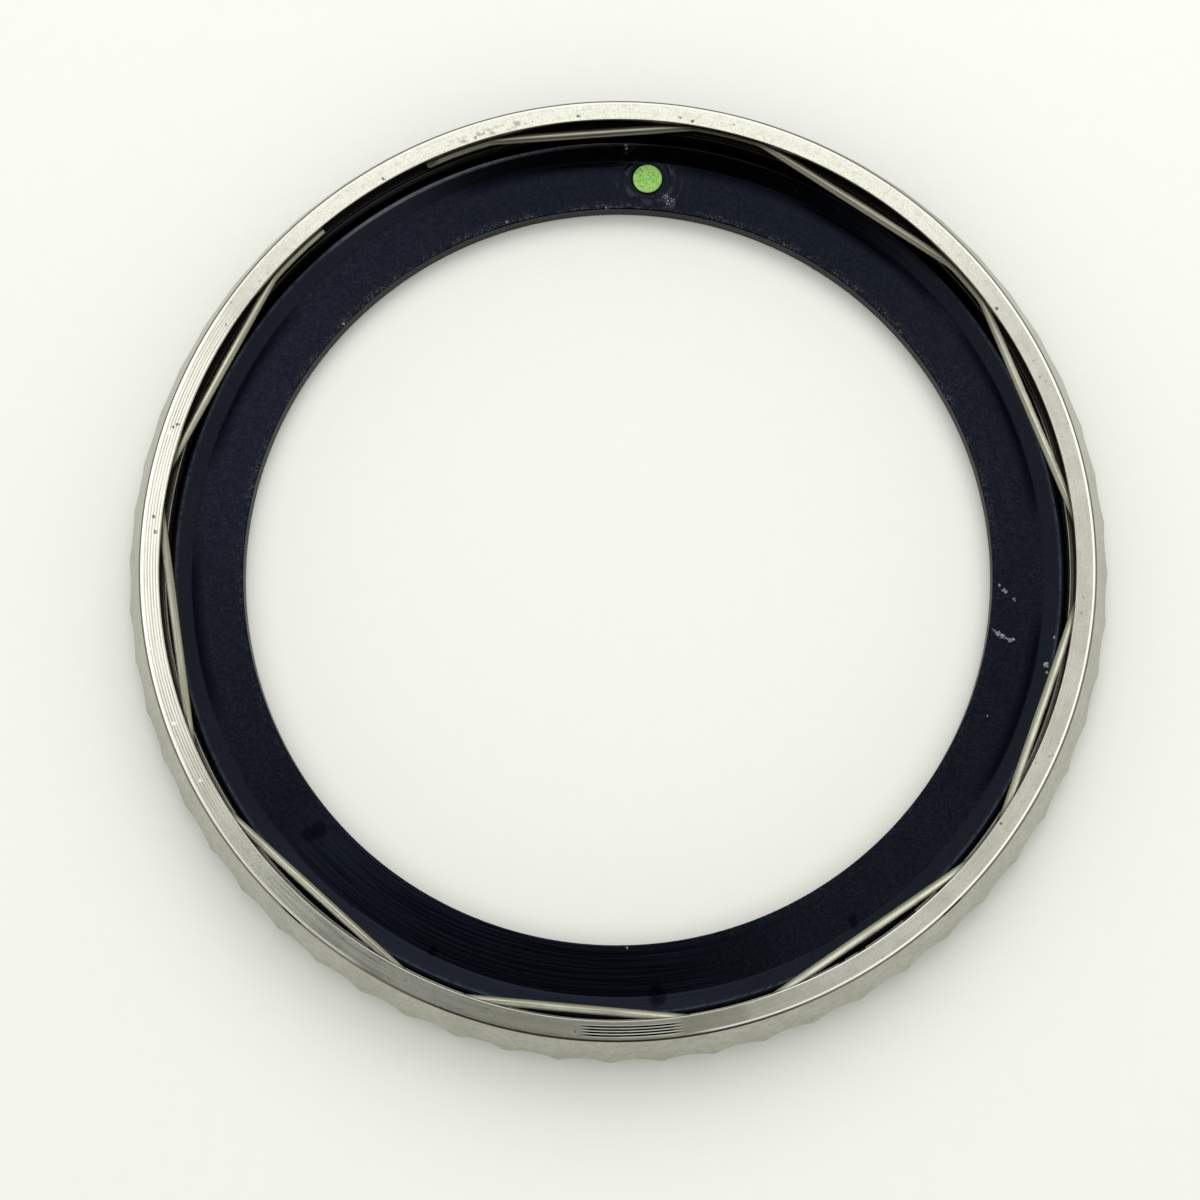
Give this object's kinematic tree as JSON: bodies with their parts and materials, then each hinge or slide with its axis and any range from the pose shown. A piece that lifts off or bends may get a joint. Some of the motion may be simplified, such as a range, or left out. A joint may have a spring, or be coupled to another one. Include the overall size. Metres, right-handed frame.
{
  "type": "rotating watch bezel",
  "caption": "Rotating dive-watch bezel: scooped steel ring with a tapered wall, black insert with a luminous mark, and a many-sided wire spring in its inner groove.",
  "frame": {"origin": "centre of the ring, on the plane of the front lip that it rests on", "axes": "+Z along the ring's axis from the front (dial) side to the side that faces the watch case, +Y from the axis to the zero mark"},
  "size_m": [0.04, 0.04, 0.0033],
  "materials": {
    "ring_steel": "satin turned steel with polished edges",
    "spring_wire": "drawn spring wire, slightly warm",
    "insert_black": "black anodised with a blue cast, semi-gloss over fine turning marks",
    "adhesive_film": "dull translucent film",
    "luminous_green": "matt grainy luminous compound",
    "collar_steel": "polished",
    "lens_clear": "clear polished",
    "scale_paint": "matt off-white paint"
  },
  "bodies": {
    "bezel": {"bezel_ring": "ring_steel", "insert": "insert_black", "insert_adhesive": "adhesive_film", "luminous_fill": "luminous_green", "pip_collar": "collar_steel", "pip_lens": "lens_clear", "minute_ticks": "scale_paint", "five_minute_bars": "scale_paint", "zero_arrow": "scale_paint", "number_10": "scale_paint", "number_20": "scale_paint", "number_30": "scale_paint", "number_40": "scale_paint", "number_50": "scale_paint"},
    "spring": {"retaining_spring": "spring_wire"}
  },
  "joints": [
    {"name": "spring_turn", "type": "hinge", "parent": "bezel", "child": "spring", "pos_m": [0, 0, 0.00277], "axis": [0, 0, 1], "continuous": true}
  ]
}
